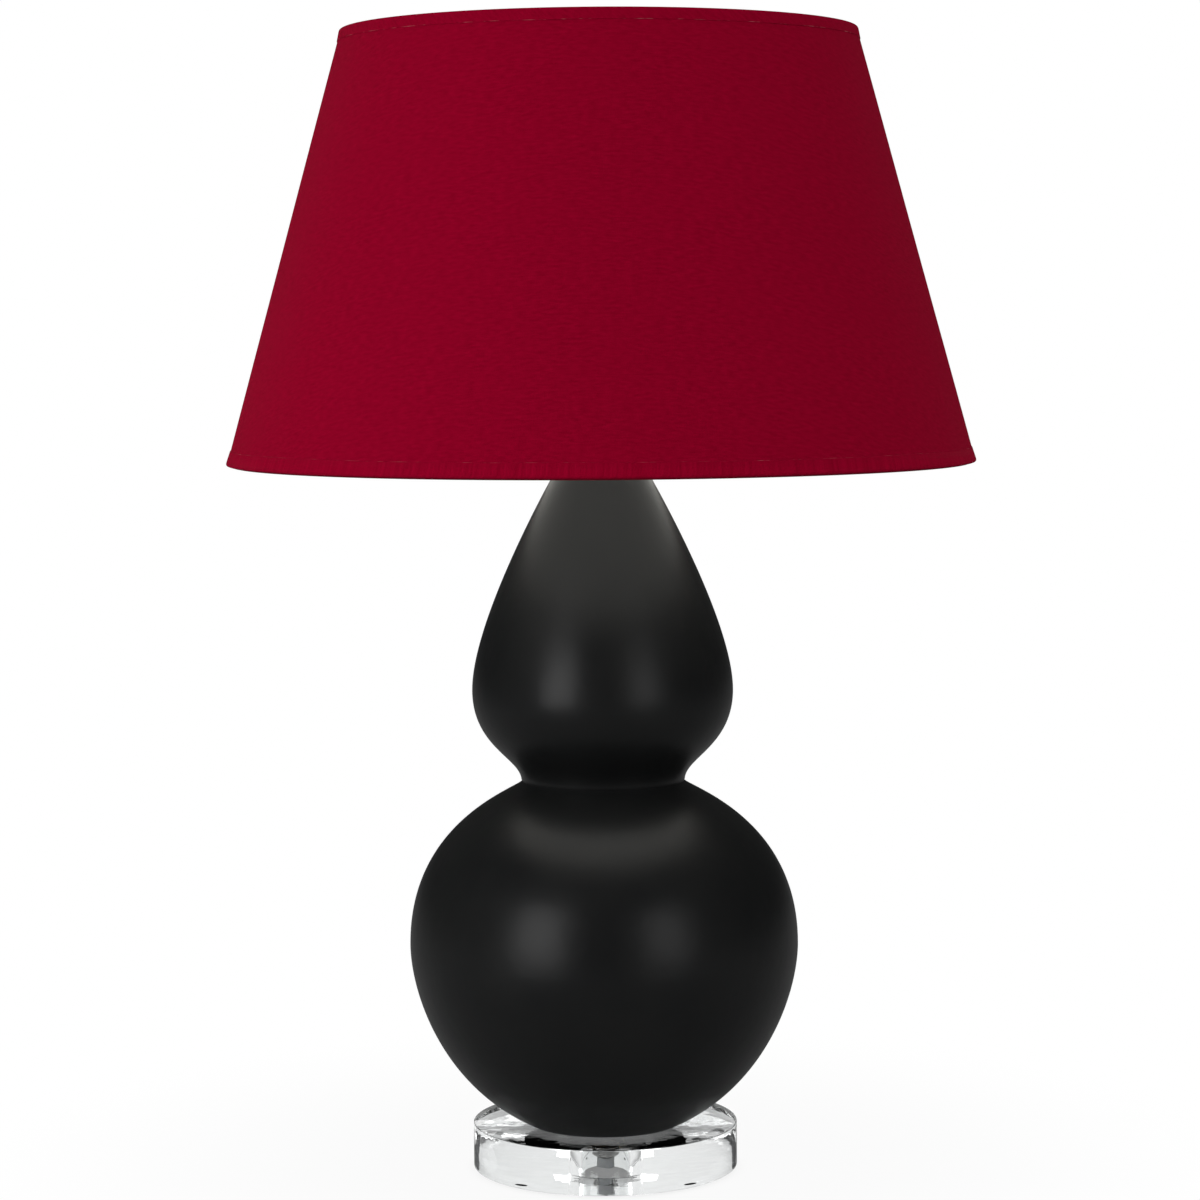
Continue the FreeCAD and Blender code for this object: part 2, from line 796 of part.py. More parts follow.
os.makedirs("parts", exist_ok=True)
for name, shape in nodes.items():
    shape.exportStep("parts/" + name + ".step")
    box = shape.BoundBox
    print(name, "solids", len(shape.Solids), "valid", shape.isValid(),
          "volume %.0f" % shape.Volume, "z %.1f to %.1f" % (box.ZMin, box.ZMax))
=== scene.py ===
import bmesh
import bpy
import json
import math
import numpy as np
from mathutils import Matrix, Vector


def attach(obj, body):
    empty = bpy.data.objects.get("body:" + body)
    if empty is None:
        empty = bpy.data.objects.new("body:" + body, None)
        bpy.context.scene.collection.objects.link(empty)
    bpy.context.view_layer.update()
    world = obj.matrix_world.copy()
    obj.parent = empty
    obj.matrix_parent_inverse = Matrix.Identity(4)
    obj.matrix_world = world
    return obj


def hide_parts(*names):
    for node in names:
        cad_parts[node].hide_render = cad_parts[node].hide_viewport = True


# Double gourd table lamp: clear round base, black glazed body, crimson tapered shade.
# Metres, +Z up, the viewer stands on the -Y side.

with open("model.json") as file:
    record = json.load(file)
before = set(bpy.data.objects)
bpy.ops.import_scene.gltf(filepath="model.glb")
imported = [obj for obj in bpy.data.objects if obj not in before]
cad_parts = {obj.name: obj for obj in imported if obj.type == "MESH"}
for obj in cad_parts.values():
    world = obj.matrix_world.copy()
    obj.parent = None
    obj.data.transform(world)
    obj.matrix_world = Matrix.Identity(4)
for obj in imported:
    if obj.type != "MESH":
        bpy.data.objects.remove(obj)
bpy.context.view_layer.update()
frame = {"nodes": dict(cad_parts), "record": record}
record = frame["record"]
scene = bpy.context.scene
print("frame loaded", len(frame["nodes"]), "nodes")


# Camera

cameraSetup = {
    "place": (-0.0002, -2.340, 0.58906),
    "tiltDown": 0.0817385,   # radians below the horizon
    "roll": 0.0063,          # radians, the photo leans a little to the left
    "lens": 101.805,         # mm
    "sensor": 36.0,          # mm wide
    "clip": (0.05, 60.0),
    "bounces": 16,           # light goes round the inside of the clear base many times before it leaves
    "glossyBounces": 12,
}

cameraData = bpy.data.cameras.new("photoCamera")
cameraData.sensor_width = cameraSetup["sensor"]
cameraData.lens = cameraSetup["lens"]
cameraData.clip_start, cameraData.clip_end = cameraSetup["clip"]
camera = bpy.data.objects.new("photoCamera", cameraData)
camera.location = cameraSetup["place"]
camera.rotation_euler = (math.pi / 2 - cameraSetup["tiltDown"], cameraSetup["roll"], 0.0)
scene.collection.objects.link(camera)
scene.camera = camera
scene.view_settings.view_transform = "Standard"
scene.cycles.max_bounces = cameraSetup["bounces"]
scene.cycles.glossy_bounces = cameraSetup["glossyBounces"]
scene.cycles.transmission_bounces = cameraSetup["bounces"]
print("camera set")


# Meshes

hardwareLook = {"mergeWithin": 1e-6, "sharpOver": 28.0}   # metres, degrees


def gridPiece(name, points, closeAcross=False, closeAlong=False, flat=None):
    # Points stand in rows and columns; each quad joins a point to the next in its row and in the next row.
    # Flat gives each point its place on the cloth, with one more row or column where the grid closes.
    rows, cols = points.shape[:2]
    r, c = np.meshgrid(np.arange(rows if closeAlong else rows - 1),
                       np.arange(cols if closeAcross else cols - 1), indexing="ij")
    rNext, cNext = (r + 1) % rows, (c + 1) % cols
    quads = np.stack([r * cols + c, r * cols + cNext, rNext * cols + cNext, rNext * cols + c], -1)
    mesh = bpy.data.meshes.new(name)
    mesh.from_pydata(points.reshape(-1, 3).tolist(), [], quads.reshape(-1, 4).tolist())
    if flat is not None:
        corners = np.stack([flat[r, c], flat[r, c + 1], flat[r + 1, c + 1], flat[r + 1, c]], 2)
        layer = mesh.uv_layers.new(name="flatCloth")
        layer.data.foreach_set("uv", corners.reshape(-1).astype(np.float32))
    mesh.shade_smooth()
    mesh.update()
    piece = bpy.data.objects.new(name, mesh)
    scene.collection.objects.link(piece)
    return piece


def turned(outline, steps):
    # A closed outline of radius and height, turned round Z: x = r cos a, y = r sin a.
    # It runs so that the material lies on its left, which makes the faces point outwards.
    angle = np.linspace(0.0, 2 * math.pi, steps, endpoint=False)
    r, z = outline[:, 0][:, None], outline[:, 1][:, None]
    return np.stack([r * np.cos(angle), r * np.sin(angle), z + 0 * angle], -1)


def rounded(corners, radius, steps=4, share=0.48):
    # Each corner of a closed outline gives way to a short curve between the points a radius before and
    # after it: (1-t)^2 P + 2t(1-t) C + t^2 N, with the reach held to a share of either side under a half.
    corner = np.array(corners, float)
    radius = np.broadcast_to(np.array(radius, float), (len(corner),))[:, None]
    before, after = np.roll(corner, 1, 0) - corner, np.roll(corner, -1, 0) - corner
    lenBefore = np.linalg.norm(before, axis=1)[:, None]
    lenAfter = np.linalg.norm(after, axis=1)[:, None]
    start = corner + before / lenBefore * np.minimum(radius, lenBefore * share)
    end = corner + after / lenAfter * np.minimum(radius, lenAfter * share)
    t = np.linspace(0.0, 1.0, steps + 1)[None, :, None]
    curve = (1 - t) ** 2 * start[:, None] + 2 * t * (1 - t) * corner[:, None] + t ** 2 * end[:, None]
    return curve.reshape(-1, 2)


def cubic(poles, steps):
    # Bernstein form of a cubic through four poles, last point left out.
    t = np.linspace(0.0, 1.0, steps, endpoint=False)[:, None]
    a, b, c, d = np.array(poles, float)
    return (1 - t) ** 3 * a + 3 * t * (1 - t) ** 2 * b + 3 * t ** 2 * (1 - t) * c + t ** 3 * d


def sharpAt(piece, degrees):
    # Smooth shading, broken where two faces meet at more than this angle.
    piece.data.shade_smooth()
    piece.data.set_sharp_from_angle(angle=math.radians(degrees))


def cutAway(piece, cutters):
    # The piece less the cutters, as a plain mesh. The cutters are used up.
    for cutter in cutters:
        change = piece.modifiers.new("cut", "BOOLEAN")
        change.operation, change.solver, change.object = "DIFFERENCE", "EXACT", cutter
    bpy.context.view_layer.update()
    solved = piece.evaluated_get(bpy.context.evaluated_depsgraph_get())
    mesh = bpy.data.meshes.new_from_object(solved)
    piece.modifiers.clear()
    piece.data = mesh
    for cutter in cutters:
        bpy.data.objects.remove(cutter)


def rodPiece(name, start, end, radius, steps=48):
    # Circles square to the run from start to end, joined and closed at both ends. They start half a step
    # round, so that no corner lies in the plane of the run, where another piece's corners may lie.
    start, end = np.array(start, float), np.array(end, float)
    run = (end - start) / np.linalg.norm(end - start)
    side = np.cross(run, (0.0, 0.0, 1.0) if abs(run[2]) < 0.9 else (1.0, 0.0, 0.0))
    side /= np.linalg.norm(side)
    other = np.cross(run, side)
    angle = (np.arange(steps)[:, None] + 0.5) * 2 * math.pi / steps
    ring = radius * (np.cos(angle) * side + np.sin(angle) * other)
    points = np.concatenate([start + ring, end + ring]).tolist()
    k = np.arange(steps)
    sides = np.stack([k, (k + 1) % steps, (k + 1) % steps + steps, k + steps], -1).tolist()
    mesh = bpy.data.meshes.new(name)
    mesh.from_pydata(points, [], sides + [k[::-1].tolist(), (k + steps).tolist()])
    piece = bpy.data.objects.new(name, mesh)
    scene.collection.objects.link(piece)
    return piece


def finishPiece(piece, body, material, replaced=()):
    # The piece gets its material and the body that it rides on, and the nodes that it stands for are hidden.
    piece.data.materials.clear()
    piece.data.materials.append(material)
    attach(piece, body)
    if replaced:
        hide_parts(*replaced)
    return piece


# Node groups that several finishes share

def newGroup(name, inputs, outputs):
    # A node group with its sockets, with what it is given and what it puts out.
    group = bpy.data.node_groups.new(name, "ShaderNodeTree")
    for label, kind, value in inputs:
        socket = group.interface.new_socket(label, in_out="INPUT", socket_type=kind)
        if value is not None:
            socket.default_value = value
    for label, kind in outputs:
        group.interface.new_socket(label, in_out="OUTPUT", socket_type=kind)
    return group, group.nodes.new("NodeGroupInput").outputs, group.nodes.new("NodeGroupOutput").inputs


def mathNode(tree, operation, *values):
    # One sum, where each value is a number or another node's socket.
    node = tree.nodes.new("ShaderNodeMath")
    node.operation = operation
    for k, value in enumerate(values):
        if isinstance(value, bpy.types.NodeSocket):
            tree.links.new(value, node.inputs[k])
        else:
            node.inputs[k].default_value = value
    return node.outputs[0]


def noiseNode(tree, place, scale, detail=3.0, roughness=0.5):
    # Soft noise from 0 to 1 at a place.
    node = tree.nodes.new("ShaderNodeTexNoise")
    tree.links.new(place, node.inputs["Vector"])
    if isinstance(scale, bpy.types.NodeSocket):
        tree.links.new(scale, node.inputs["Scale"])
    else:
        node.inputs["Scale"].default_value = scale
    node.inputs["Detail"].default_value = detail
    node.inputs["Roughness"].default_value = roughness
    return node.outputs["Fac"]


def rangeNode(tree, value, low, high, toLow, toHigh, smooth=False):
    # A straight or smooth step from one range to another, held at both ends.
    node = tree.nodes.new("ShaderNodeMapRange")
    node.interpolation_type = "SMOOTHSTEP" if smooth else "LINEAR"
    for label, amount in (("Value", value), ("From Min", low), ("From Max", high),
                          ("To Min", toLow), ("To Max", toHigh)):
        if isinstance(amount, bpy.types.NodeSocket):
            tree.links.new(amount, node.inputs[label])
        else:
            node.inputs[label].default_value = amount
    return node.outputs["Result"]


def makeGrainGroup():
    # Mask is slow noise for tone and gloss, Height is noise six times finer.
    group, given, result = newGroup("surfaceGrain", [("Place", "NodeSocketVector", None),
                                                     ("Scale", "NodeSocketFloat", 60.0)],
                                    [("Mask", "NodeSocketFloat"), ("Height", "NodeSocketFloat")])
    slow = noiseNode(group, given["Place"], given["Scale"], 4.0)
    fine = noiseNode(group, given["Place"], mathNode(group, "MULTIPLY", given["Scale"], 6.0), 2.0)
    group.links.new(rangeNode(group, slow, 0.3, 0.7, 0.0, 1.0), result["Mask"])
    group.links.new(fine, result["Height"])
    return group


def makeTurnedGroup():
    # Noise on radius and height only, so that it draws rings, as a lathe or a polishing wheel does.
    group, given, result = newGroup("turnedLines", [("Place", "NodeSocketVector", None),
                                                    ("Scale", "NodeSocketFloat", 2500.0)],
                                    [("Height", "NodeSocketFloat")])
    split = group.nodes.new("ShaderNodeSeparateXYZ")
    group.links.new(given["Place"], split.inputs[0])
    x, y, z = split.outputs
    radius = mathNode(group, "SQRT", mathNode(group, "ADD", mathNode(group, "MULTIPLY", x, x),
                                              mathNode(group, "MULTIPLY", y, y)))
    join = group.nodes.new("ShaderNodeCombineXYZ")
    group.links.new(radius, join.inputs[0])
    group.links.new(z, join.inputs[1])
    group.links.new(noiseNode(group, join.outputs[0], given["Scale"], 2.0), result["Height"])
    return group


def makeThreadGroup():
    # Height is a triangle wave of z / pitch minus the turn, between two heights.
    group, given, result = newGroup("screwThread", [("Place", "NodeSocketVector", None),
                                                    ("Pitch", "NodeSocketFloat", 0.00094),
                                                    ("Low", "NodeSocketFloat", 0.0),
                                                    ("High", "NodeSocketFloat", 1.0)],
                                    [("Height", "NodeSocketFloat")])
    split = group.nodes.new("ShaderNodeSeparateXYZ")
    group.links.new(given["Place"], split.inputs[0])
    x, y, z = split.outputs
    turn = mathNode(group, "DIVIDE", mathNode(group, "ARCTAN2", y, x), 2 * math.pi)
    phase = mathNode(group, "SUBTRACT", mathNode(group, "DIVIDE", z, given["Pitch"]), turn)
    wave = mathNode(group, "PINGPONG", phase, 0.5)
    inside = mathNode(group, "MULTIPLY", mathNode(group, "GREATER_THAN", z, given["Low"]),
                      mathNode(group, "LESS_THAN", z, given["High"]))
    group.links.new(mathNode(group, "MULTIPLY", wave, inside), result["Height"])
    return group


weaveLook = {
    "slubStretch": (150.0, 620.0, 1.0), "slubRange": (0.3, 0.72),   # slubs are long along the weft
    "toneScale": 22.0, "toneRange": (0.3, 0.7),
    "threadHeight": 0.6, "slubHeight": 0.4,
}


def makeWeaveGroup():
    # A plain weave on the flat cut: |sin| ridges of warp and weft trade places on a checker of crossings.
    # Slub is noise drawn out along the weft; Tone is slow dye variation.
    group, given, result = newGroup("plainWeave", [("Flat", "NodeSocketVector", None),
                                                   ("Threads", "NodeSocketFloat", 1500.0)],
                                    [("Thread", "NodeSocketFloat"), ("Slub", "NodeSocketFloat"),
                                     ("Tone", "NodeSocketFloat"), ("Height", "NodeSocketFloat")])
    split = group.nodes.new("ShaderNodeSeparateXYZ")
    group.links.new(given["Flat"], split.inputs[0])
    across = mathNode(group, "MULTIPLY", split.outputs[0], given["Threads"])
    up = mathNode(group, "MULTIPLY", split.outputs[1], given["Threads"])
    ridges = [mathNode(group, "ABSOLUTE", mathNode(group, "SINE", mathNode(group, "MULTIPLY", v, math.pi)))
              for v in (across, up)]
    parity = mathNode(group, "MODULO", mathNode(group, "ADD", mathNode(group, "FLOOR", across),
                                                mathNode(group, "FLOOR", up)), 2.0)
    parity = mathNode(group, "ABSOLUTE", parity)
    warp = mathNode(group, "MULTIPLY", ridges[0], parity)
    weft = mathNode(group, "MULTIPLY", ridges[1], mathNode(group, "SUBTRACT", 1.0, parity))
    thread = mathNode(group, "ADD", warp, weft)
    stretch = group.nodes.new("ShaderNodeMapping")
    stretch.inputs["Scale"].default_value = weaveLook["slubStretch"]
    group.links.new(given["Flat"], stretch.inputs["Vector"])
    slubNoise = noiseNode(group, stretch.outputs[0], 1.0, 3.0, 0.6)
    slub = rangeNode(group, slubNoise, *weaveLook["slubRange"], 0.0, 1.0)
    toneNoise = noiseNode(group, given["Flat"], weaveLook["toneScale"], 4.0, 0.6)
    tone = rangeNode(group, toneNoise, *weaveLook["toneRange"], 0.0, 1.0)
    group.links.new(thread, result["Thread"])
    group.links.new(slub, result["Slub"])
    group.links.new(tone, result["Tone"])
    height = mathNode(group, "ADD", mathNode(group, "MULTIPLY", thread, weaveLook["threadHeight"]),
                      mathNode(group, "MULTIPLY", slub, weaveLook["slubHeight"]))
    group.links.new(height, result["Height"])
    return group


grainGroup = makeGrainGroup()
turnedGroup = makeTurnedGroup()
threadGroup = makeThreadGroup()
weaveGroup = makeWeaveGroup()


def startMaterial(name):
    material = bpy.data.materials.new(name)
    material.use_nodes = True
    tree = material.node_tree
    return material, tree, tree.nodes["Principled BSDF"]


def placeSocket(tree):
    return tree.nodes.new("ShaderNodeTexCoord").outputs["Object"]


def addGroup(tree, group, place, **values):
    # Places a group in a material with its own values. Its first socket is the place.
    node = tree.nodes.new("ShaderNodeGroup")
    node.node_tree = group
    tree.links.new(place, node.inputs[0])
    for label, value in values.items():
        node.inputs[label[0].upper() + label[1:]].default_value = value
    return node.outputs


def colourMix(tree, factor, low, high):
    # From one colour to another by a mask.
    node = tree.nodes.new("ShaderNodeMix")
    node.data_type = "RGBA"
    tree.links.new(factor, node.inputs["Factor"])
    for label, value in (("A", low), ("B", high)):
        socket = [s for s in node.inputs if s.name == label and s.type == "RGBA"][0]
        if isinstance(value, bpy.types.NodeSocket):
            tree.links.new(value, socket)
        else:
            socket.default_value = (*value, 1.0)
    return [s for s in node.outputs if s.type == "RGBA"][0]


def addBump(tree, shader, height, distance, strength=1.0):
    bump = tree.nodes.new("ShaderNodeBump")
    bump.inputs["Strength"].default_value = strength
    bump.inputs["Distance"].default_value = distance
    tree.links.new(height, bump.inputs["Height"])
    tree.links.new(bump.outputs["Normal"], shader.inputs["Normal"])


def plainFinish(name, look):
    # Base colour and roughness run between two values with the grain. The bump follows the grain too, or
    # else turned lines or a screw thread.
    material, tree, shader = startMaterial(name)
    place = placeSocket(tree)
    grain = addGroup(tree, grainGroup, place, scale=look["scale"])
    tree.links.new(colourMix(tree, grain["Mask"], look["dark"], look["light"]), shader.inputs["Base Color"])
    tree.links.new(rangeNode(tree, grain["Mask"], 0.0, 1.0, *look["rough"]), shader.inputs["Roughness"])
    height = grain["Height"]
    if "lines" in look:
        height = addGroup(tree, turnedGroup, place, scale=look["lines"])["Height"]
    if "thread" in look:
        pitch, low, high = look["thread"]
        height = addGroup(tree, threadGroup, place, pitch=pitch, low=low, high=high)["Height"]
    addBump(tree, shader, height, look["bump"])
    shader.inputs["Metallic"].default_value = look.get("metal", 0.0)
    shader.inputs["Specular IOR Level"].default_value = look.get("specular", 0.5)
    shader.inputs["Transmission Weight"].default_value = look.get("clear", 0.0)
    shader.inputs["IOR"].default_value = look.get("ior", 1.5)
    return material


finishes = {
    "plated_steel": dict(dark=(0.13, 0.13, 0.128), light=(0.24, 0.238, 0.232), rough=(0.16, 0.30), metal=1.0,
                         scale=160.0, bump=0.00002),
    "nickel": dict(dark=(0.58, 0.55, 0.51), light=(0.66, 0.63, 0.59), rough=(0.10, 0.20), metal=1.0,
                   scale=90.0, lines=2500.0, bump=0.000004),
    "brass": dict(dark=(0.56, 0.38, 0.14), light=(0.68, 0.49, 0.21), rough=(0.18, 0.32), metal=1.0,
                  scale=140.0, bump=0.00001),
    "aluminium": dict(dark=(0.62, 0.63, 0.64), light=(0.74, 0.75, 0.76), rough=(0.22, 0.36), metal=1.0,
                      scale=120.0, thread=(0.00363, 0.0, 1.0), bump=0.0006),
    "grey_plastic": dict(dark=(0.30, 0.31, 0.32), light=(0.36, 0.37, 0.38), rough=(0.42, 0.58), scale=240.0,
                         bump=0.00003),
    "clear_bumper": dict(dark=(0.84, 0.86, 0.86), light=(0.90, 0.92, 0.92), rough=(0.12, 0.24), scale=180.0,
                         clear=0.8, ior=1.45, bump=0.00001),
    "paper_sleeve": dict(dark=(0.20, 0.16, 0.11), light=(0.30, 0.25, 0.18), rough=(0.78, 0.92), scale=320.0,
                         bump=0.00006, specular=0.2),
    "black_phenolic": dict(dark=(0.010, 0.010, 0.011), light=(0.020, 0.019, 0.018), rough=(0.28, 0.44),
                           scale=150.0, bump=0.00002),
    "frosted_glass": dict(dark=(0.86, 0.86, 0.84), light=(0.92, 0.92, 0.90), rough=(0.42, 0.55), scale=90.0,
                          clear=0.35, bump=0.00002),
    "white_wire": dict(dark=(0.72, 0.715, 0.69), light=(0.80, 0.795, 0.77), rough=(0.30, 0.46), scale=110.0,
                       bump=0.00004),
    "white_styrene": dict(dark=(0.74, 0.725, 0.69), light=(0.80, 0.785, 0.75), rough=(0.42, 0.56), scale=30.0,
                          bump=0.00003, specular=0.35),
}
materials = {slot: plainFinish(slot, look) for slot, look in finishes.items()}

threadLook = {
    "pitch": 0.00094,   # from crest to crest
    "pipe": {"heights": (0.0, 0.60), "depth": 0.0005},
    "stud": {"heights": (0.7705, 0.80), "depth": 0.0004},
}


def threadedFinish(name, plain, look):
    # A plain finish with a screw thread cut between two heights.
    thread = (threadLook["pitch"], *look["heights"])
    return plainFinish(name, dict(finishes[plain], thread=thread, bump=look["depth"]))


materials["pipeThread"] = threadedFinish("pipeThread", "plated_steel", threadLook["pipe"])
materials["studThread"] = threadedFinish("studThread", "nickel", threadLook["stud"])
print("finishes made", len(materials))


# Clear base

baseLook = {
    "radius": 0.092, "low": 0.0015, "high": 0.0325, "edge": 0.0008,
    "recessRadius": 0.017, "recessTop": 0.0200, "pipeHole": 0.006,
    "outletRadius": 0.004, "outletHeight": 0.0125, "outletFrom": 0.008, "outletPast": 0.01,
    "steps": 288,
    "tint": (0.78, 0.80, 0.80), "tintLight": (0.88, 0.89, 0.89), "ior": 1.49,
    "haze": (0.0, 0.018), "rippleScale": 9.0, "rippleDepth": 0.00025,
}


def acrylicMaterial():
    # Clear with a faint polish ripple and hairline haze.
    b = baseLook
    material, tree, shader = startMaterial("clearAcrylic")
    grain = addGroup(tree, grainGroup, placeSocket(tree), scale=b["rippleScale"])
    tree.links.new(colourMix(tree, grain["Mask"], b["tint"], b["tintLight"]), shader.inputs["Base Color"])
    tree.links.new(rangeNode(tree, grain["Mask"], 0.0, 1.0, *b["haze"]), shader.inputs["Roughness"])
    addBump(tree, shader, grain["Height"], b["rippleDepth"])
    shader.inputs["Transmission Weight"].default_value = 1.0
    shader.inputs["IOR"].default_value = b["ior"]
    return material


def makeBase():
    # The section runs up the rim, in over the top, down the pipe hole and out over the recess.
    b = baseLook
    corners = [(b["recessRadius"], b["low"]), (b["radius"], b["low"]), (b["radius"], b["high"]),
               (b["pipeHole"], b["high"]), (b["pipeHole"], b["recessTop"]),
               (b["recessRadius"], b["recessTop"])]
    e = b["edge"]
    outline = rounded(corners, [e / 2, e, e, e / 3, e / 3, e / 2], 4)
    piece = gridPiece("acrylicDisc", turned(outline, b["steps"]), True, True)
    z = b["outletHeight"]
    start, end = (0, b["outletFrom"], z), (0, b["radius"] + b["outletPast"], z)
    cutAway(piece, [rodPiece("outletBore", start, end, b["outletRadius"])])
    sharpAt(piece, 50)
    return finishPiece(piece, "lamp_body", acrylicMaterial(), ["acrylic_base"])


makeBase()
print("clear base made")


# Glazed body

gourdLook = {
    "foot": (0.054, 0.0325), "belly": (0.135, 0.1585), "neck": (0.0567, 0.2719),
    "bulb": (0.0904, 0.3353), "mouth": (0.0247, 0.4985),
    "footReach": (0.07, 26.0), "bellyReach": (0.03, 0.0874), "neckReach": (0.0059, 86.2, 0.0167),
    "bulbReach": (0.0396, 0.052), "mouthReach": (0.001, 61.0),
    "creaseDepth": 0.0006, "creaseWidth": 0.0006,
    "wall": 0.007, "mouthBore": 0.015, "footHole": 0.011, "footRecess": (0.034, 0.0345),
    "rows": (56, 64, 44, 60), "innerRows": slice(10, -14, 9), "steps": 300,
    "glaze": (0.0058, 0.0061, 0.0064), "glazeLight": (0.0084, 0.0087, 0.0086), "glazeScale": 14.0,
    "rough": (0.32, 0.38), "specular": 0.20, "ripple": 0.00012,
}


def gourdOutline():
    # Four cubics from foot to mouth, less a narrow bell-shaped groove at the neck where the lobes meet.
    g = gourdLook
    foot, belly, neck, bulb, mouth = (np.array(g[k]) for k in ("foot", "belly", "neck", "bulb", "mouth"))
    up = np.array((0.0, 1.0))

    def slope(reach, degrees):   # a step of this length at this angle above level
        return reach * np.array((math.cos(math.radians(degrees)), math.sin(math.radians(degrees))))

    footOn = slope(*g["footReach"])
    neckOn = slope(g["neckReach"][0], -g["neckReach"][1])
    mouthOn = slope(*g["mouthReach"])
    toBelly, toNeck, toBulb, toMouth = g["rows"]
    outer = np.concatenate([
        cubic([foot, foot + footOn, belly - up * g["bellyReach"][0], belly], toBelly),
        cubic([belly, belly + up * g["bellyReach"][1], neck + neckOn, neck], toNeck),
        cubic([neck, neck + up * g["neckReach"][2], bulb - up * g["bulbReach"][0], bulb], toBulb),
        cubic([bulb, bulb + up * g["bulbReach"][1], mouth + mouthOn, mouth], toMouth)])
    near = np.exp(-((outer[:, 1] - neck[1]) / g["creaseWidth"]) ** 2)
    outer[:, 0] -= g["creaseDepth"] * near
    return outer


def glazeMaterial():
    # Near-black satin glaze: slow tone and gloss drift, and a faint ripple in the surface.
    g = gourdLook
    material, tree, shader = startMaterial("satinBlackGlaze")
    grain = addGroup(tree, grainGroup, placeSocket(tree), scale=g["glazeScale"])
    tree.links.new(colourMix(tree, grain["Mask"], g["glaze"], g["glazeLight"]), shader.inputs["Base Color"])
    tree.links.new(rangeNode(tree, grain["Mask"], 0.0, 1.0, *g["rough"]), shader.inputs["Roughness"])
    addBump(tree, shader, grain["Height"], g["ripple"])
    shader.inputs["Specular IOR Level"].default_value = g["specular"]
    return material


def makeGourd():
    # Up the outer outline, over the rim, down inside one wall in, and back under the foot.
    g = gourdLook
    outer = gourdOutline()
    step = np.gradient(outer, axis=0)
    inward = np.stack([-step[:, 1], step[:, 0]], -1) / np.linalg.norm(step, axis=1)[:, None]
    inner = (outer + inward * g["wall"])[g["innerRows"]][::-1]
    rimZ, bore = g["mouth"][1], g["mouthBore"]
    rim = [(g["mouth"][0], rimZ), (bore, rimZ), (bore, rimZ - g["wall"])]
    recessR, recessZ = g["footRecess"]
    under = [(g["footHole"], recessZ + g["wall"]), (g["footHole"], recessZ), (recessR, recessZ),
             (recessR, g["foot"][1])]
    outline = np.concatenate([outer, rim, inner, under])
    piece = gridPiece("glazedGourd", turned(outline, g["steps"]), True, True)
    sharpAt(piece, 40)
    return finishPiece(piece, "lamp_body", glazeMaterial(), ["gourd_body"])


makeGourd()
print("glazed body made")


# Shade

shadeLook = {
    "bottomRadius": 0.2565, "topRadius": 0.176, "low": 0.4938, "height": 0.293,
    "cover": 0.0006, "liner": 0.0006, "hem": 0.0008,
    "ringWire": 0.0030, "ringGap": 0.0002,
    "topHem": 0.0075, "bottomHem": 0.0095, "fold": 0.0008, "tail": 0.7, "touch": 0.00002,
    "seamLap": 0.012, "seamLift": 0.0007, "linerLap": 0.010, "linerLift": 0.0005,
    "steps": 720, "rows": 64, "linerSteps": 361, "linerRows": 24,
    "clothThick": 0.00045, "clothShort": 0.0002, "clothBed": 0.00008, "slack": (0.00006, 0.00005),
    "swell": 0.00016, "pucker": 0.00003, "puckerWaves": (61, 83, 104, 137, 171), "puckerLean": 260,
    "edgeDrift": (0.00018, 0.00012),
    "armAngles": (30.0, 150.0, 270.0), "armRadius": 0.0018, "armRun": (0.014, 0.0145), "armSides": 20,
}
slant = math.hypot(shadeLook["height"], shadeLook["bottomRadius"] - shadeLook["topRadius"])
rise = shadeLook["height"] / slant
draw = (shadeLook["bottomRadius"] - shadeLook["topRadius"]) / slant


def wallPoint(along, out):
    # Radius and height of a place up the slant from the lower edge and out from the cover's face.
    s = shadeLook
    return s["bottomRadius"] - along * draw + out * rise, s["low"] + along * rise + out * draw


def smoothStep(value):
    # 3v^2 - 2v^3, held between 0 and 1.
    value = np.clip(value, 0.0, 1.0)
    return value * value * (3 - 2 * value)


clothLook = {
    "dye": (0.228, 0.0006, 0.0152), "dyeDark": (0.188, 0.0004, 0.0118), "dyeLight": (0.268, 0.0013, 0.0188),
    # the darkest colour, laid between the threads, is painted shade
    "dyeDeep": (0.06, 0.0002, 0.004), "toneShare": 0.35, "deepShare": 0.35, "deepUnder": 0.7,
    "threads": 1500.0, "rough": (0.94, 0.80), "relief": 0.00022, "reliefShare": 0.8,
    "sheen": 0.035, "sheenRough": 0.35, "sheenTint": (1.0, 0.45, 0.50, 1.0),
    # the pale thread-end colour also paints a highlight along the hem's folded edge
    "fray": (0.58, 0.22, 0.24), "frayWidth": (0.0002, 0.0009), "frayScale": 55.0, "frayPatches": (0.50, 0.66),
    "frayShare": 0.5, "biasTurn": 45.0,
}


